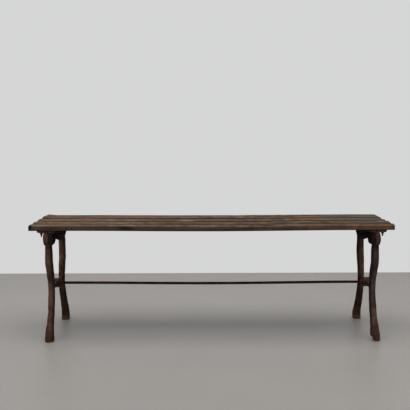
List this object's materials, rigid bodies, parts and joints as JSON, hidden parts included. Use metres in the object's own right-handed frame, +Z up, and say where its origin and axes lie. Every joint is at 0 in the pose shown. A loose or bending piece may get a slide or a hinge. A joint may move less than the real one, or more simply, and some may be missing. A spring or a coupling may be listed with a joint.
{
  "type": "rustic garden bench",
  "caption": "Backless garden bench: worn timber slats bolted to cast-iron end frames with sweeping branch-like legs, tied by a thin iron rod at the waist.",
  "frame": {"origin": "on the floor under the middle of the bench", "axes": "+X along the bench to the right as seen from the front, +Y to the rear, +Z up"},
  "size_m": [1.4, 0.432, 0.46],
  "materials": {
    "slat_timber": "bare, weathered grey-brown with worn reddish patches and dark edges",
    "cast_iron_frame": "old dark brown coating over a rusty casting skin",
    "rod_steel": "rusty dark maroon",
    "fastener_steel": "rusty dark brown"
  },
  "bodies": {
    "root": {"end_frame_left": "cast_iron_frame", "end_frame_right": "cast_iron_frame", "seat_slat_1": "slat_timber", "seat_slat_2": "slat_timber", "seat_slat_3": "slat_timber", "seat_slat_4": "slat_timber", "slat_bolt_left_1": "fastener_steel", "slat_nut_left_1": "fastener_steel", "slat_washer_left_1": "fastener_steel", "slat_bolt_left_2": "fastener_steel", "slat_nut_left_2": "fastener_steel", "slat_washer_left_2": "fastener_steel", "slat_bolt_left_3": "fastener_steel", "slat_nut_left_3": "fastener_steel", "slat_washer_left_3": "fastener_steel", "slat_bolt_left_4": "fastener_steel", "slat_nut_left_4": "fastener_steel", "slat_washer_left_4": "fastener_steel", "slat_bolt_right_1": "fastener_steel", "slat_nut_right_1": "fastener_steel", "slat_washer_right_1": "fastener_steel", "slat_bolt_right_2": "fastener_steel", "slat_nut_right_2": "fastener_steel", "slat_washer_right_2": "fastener_steel", "slat_bolt_right_3": "fastener_steel", "slat_nut_right_3": "fastener_steel", "slat_washer_right_3": "fastener_steel", "slat_bolt_right_4": "fastener_steel", "slat_nut_right_4": "fastener_steel", "slat_washer_right_4": "fastener_steel", "tie_rod": "rod_steel", "tie_rod_nut_left_inner": "fastener_steel", "tie_rod_nut_left_outer": "fastener_steel", "tie_rod_washer_left_inner": "fastener_steel", "tie_rod_washer_left_outer": "fastener_steel", "tie_rod_nut_right_inner": "fastener_steel", "tie_rod_nut_right_outer": "fastener_steel", "tie_rod_washer_right_inner": "fastener_steel", "tie_rod_washer_right_outer": "fastener_steel"}
  },
  "joints": []
}
